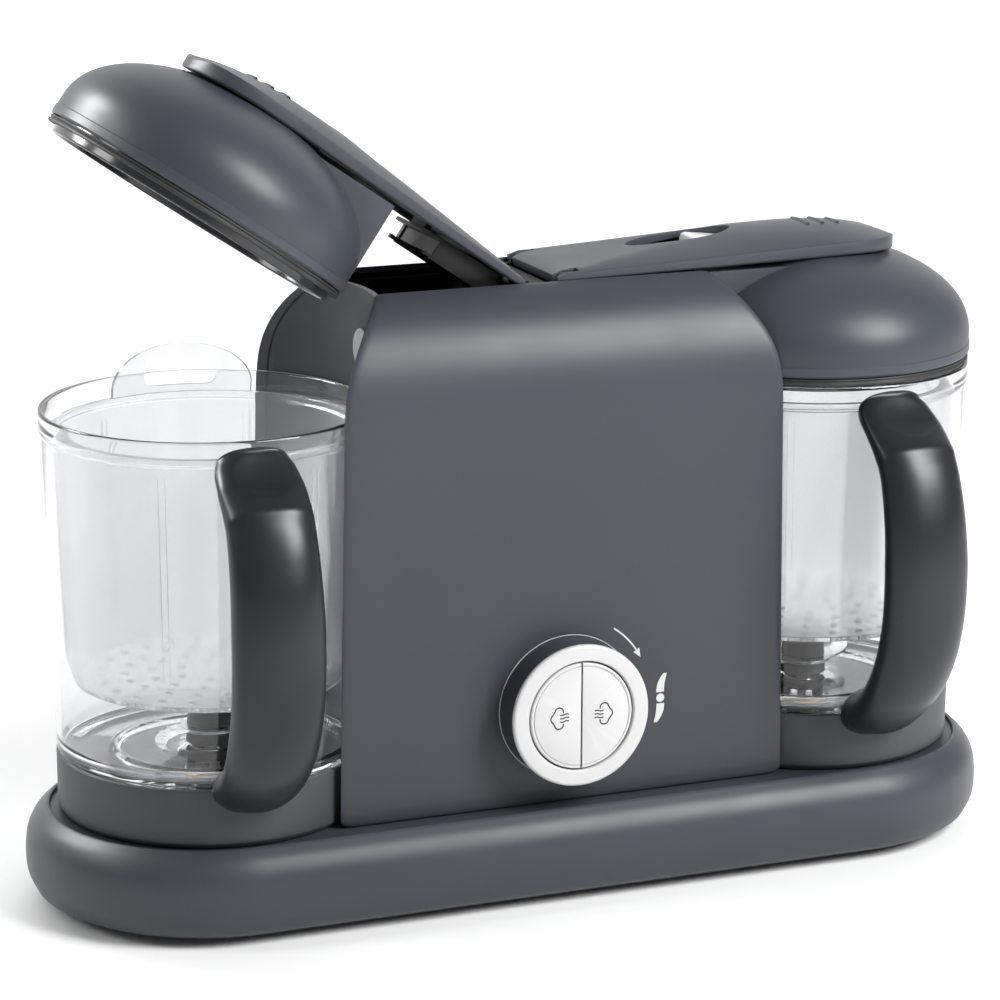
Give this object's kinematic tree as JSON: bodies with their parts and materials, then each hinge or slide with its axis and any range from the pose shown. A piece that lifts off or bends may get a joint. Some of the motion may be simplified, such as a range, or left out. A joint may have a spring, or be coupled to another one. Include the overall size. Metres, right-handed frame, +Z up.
{
  "type": "baby food maker",
  "caption": "Countertop steamer and blender for baby food: a central steam and motor block between two clear handled jugs on one long base, each under a hinged domed lid.",
  "frame": {"origin": "centre of the bounding box, at the height of the feet's undersides", "axes": "+X to the right from one jug to the other, -Y to the front where the knob and the handles are, +Z up"},
  "size_m": [0.395, 0.1694, 0.3223],
  "materials": {
    "shell_plastic": "satin dark slate-grey moulded plastic",
    "ring_plastic": "matte neutral dark grey moulded plastic",
    "black_plastic": "fine-textured black plastic",
    "liner_plastic": "smooth dark grey plastic",
    "clear_plastic": "clear transparent copolyester",
    "frosted_plastic": "clear plastic with a light haze",
    "white_plastic": "satin white plastic with printed icons",
    "grey_plastic": "light grey plastic",
    "rubber": "black elastomer",
    "steel": "brushed stainless or plated steel",
    "brass": "sintered bronze, oily",
    "circuit_board": "green laminate"
  },
  "bodies": {
    "root": {"base_shell": "shell_plastic", "base_plate": "black_plastic", "base_screw_1": "steel", "base_screw_2": "steel", "foot_1": "rubber", "foot_2": "rubber", "foot_3": "rubber", "foot_4": "rubber", "front_cover": "shell_plastic", "rear_cover": "shell_plastic", "top_deck": "black_plastic", "side_wall_left": "shell_plastic", "side_wall_right": "shell_plastic", "steam_nozzle_left": "grey_plastic", "steam_nozzle_right": "grey_plastic", "hinge_pin_left": "steel", "hinge_pin_right": "steel", "motor": "steel", "boiler_left": "steel", "boiler_right": "steel", "control_board": "circuit_board", "cord_gland": "black_plastic", "belt_left": "rubber", "belt_right": "rubber", "spindle_bush_left": "brass", "spindle_bush_right": "brass", "button_spring_left": "steel", "button_spring_right": "steel"},
    "knob": {"knob_sleeve": "shell_plastic", "knob_ring": "white_plastic"},
    "motor_shaft": {"drive_pulley": "steel"},
    "button_left": {"steam_button_left": "white_plastic"},
    "coupler_left": {"coupler_left": "steel"},
    "jug_left": {"jug_bowl_left": "clear_plastic", "jug_ring_left": "ring_plastic", "jug_handle_left": "shell_plastic"},
    "blade_left": {"blade_hub_left": "black_plastic", "blades_left": "steel"},
    "lid_left": {"arm_cover_left": "shell_plastic", "arm_frame_left": "black_plastic", "lid_dome_left": "shell_plastic", "lid_liner_left": "liner_plastic", "lid_seal_left": "rubber"},
    "release_left": {"release_slider_left": "grey_plastic"},
    "button_right": {"steam_button_right": "white_plastic"},
    "coupler_right": {"coupler_right": "steel"},
    "jug_right": {"jug_bowl_right": "clear_plastic", "jug_ring_right": "ring_plastic", "jug_handle_right": "shell_plastic", "steam_basket_right": "frosted_plastic"},
    "blade_right": {"blade_hub_right": "black_plastic", "blades_right": "steel"},
    "lid_right": {"arm_cover_right": "shell_plastic", "arm_frame_right": "black_plastic", "lid_dome_right": "shell_plastic", "lid_liner_right": "liner_plastic", "lid_seal_right": "rubber"},
    "release_right": {"release_slider_right": "grey_plastic"},
    "basket_left": {"steam_basket_left": "frosted_plastic"}
  },
  "joints": [
    {"name": "lid_left_hinge", "type": "hinge", "parent": "root", "child": "lid_left", "pos_m": [-0.0098, 0.01437, 0.2349], "axis": [0, 1, 0], "range_deg": [-34.4, 35.6]},
    {"name": "lid_right_hinge", "type": "hinge", "parent": "root", "child": "lid_right", "pos_m": [0.0098, 0.01437, 0.2349], "axis": [0, -1, 0], "range_deg": [0, 70]},
    {"name": "release_left_slide", "type": "slide", "parent": "lid_left", "child": "release_left", "axis": [0.8251, 0, -0.565], "range_m": [0, 0.012], "stiffness_N_per_m": 60},
    {"name": "release_right_slide", "type": "slide", "parent": "lid_right", "child": "release_right", "axis": [-1, 0, 0], "range_m": [0, 0.012], "stiffness_N_per_m": 60},
    {"name": "knob_turn", "type": "hinge", "parent": "root", "child": "knob", "pos_m": [0, -0.03713, 0.0747], "axis": [0, 1, 0], "range_deg": [0, 45], "stiffness_Nm_per_rad": 0.05},
    {"name": "button_left_press", "type": "slide", "parent": "root", "child": "button_left", "axis": [0, 1, 0], "range_m": [0, 0.0022], "stiffness_N_per_m": 300, "deforming": ["button_spring_left"]},
    {"name": "button_right_press", "type": "slide", "parent": "root", "child": "button_right", "axis": [0, 1, 0], "range_m": [0, 0.0022], "stiffness_N_per_m": 300, "deforming": ["button_spring_right"]},
    {"name": "jug_left_twist", "type": "hinge", "parent": "root", "child": "jug_left", "pos_m": [-0.1263, 0.01437, 0.036], "axis": [0, 0, 1], "range_deg": [-15, 0]},
    {"name": "jug_right_twist", "type": "hinge", "parent": "root", "child": "jug_right", "pos_m": [0.1263, 0.01437, 0.036], "axis": [0, 0, 1], "range_deg": [0, 15]},
    {"name": "basket_left_lift", "type": "slide", "parent": "jug_left", "child": "basket_left", "axis": [0, 0, 1], "range_m": [0, 0.036]},
    {"name": "motor_spin", "type": "hinge", "parent": "root", "child": "motor_shaft", "pos_m": [0, 0.02237, 0.036], "axis": [0, 0, 1], "continuous": true},
    {"name": "coupler_left_spin", "type": "hinge", "parent": "root", "child": "coupler_left", "pos_m": [-0.1263, 0.01437, 0.036], "axis": [0, 0, 1], "continuous": true},
    {"name": "blade_left_spin", "type": "hinge", "parent": "jug_left", "child": "blade_left", "pos_m": [-0.1263, 0.01437, 0.036], "axis": [0, 0, 1], "continuous": true},
    {"name": "coupler_right_spin", "type": "hinge", "parent": "root", "child": "coupler_right", "pos_m": [0.1263, 0.01437, 0.036], "axis": [0, 0, 1], "continuous": true},
    {"name": "blade_right_spin", "type": "hinge", "parent": "jug_right", "child": "blade_right", "pos_m": [0.1263, 0.01437, 0.036], "axis": [0, 0, 1], "continuous": true}
  ],
  "couplings": [
    {"joint": "coupler_left_spin", "follows": "motor_spin", "ratio": 0.375},
    {"joint": "blade_left_spin", "follows": "motor_spin", "ratio": 0.375},
    {"joint": "coupler_right_spin", "follows": "motor_spin", "ratio": 0.375},
    {"joint": "blade_right_spin", "follows": "motor_spin", "ratio": 0.375}
  ]
}
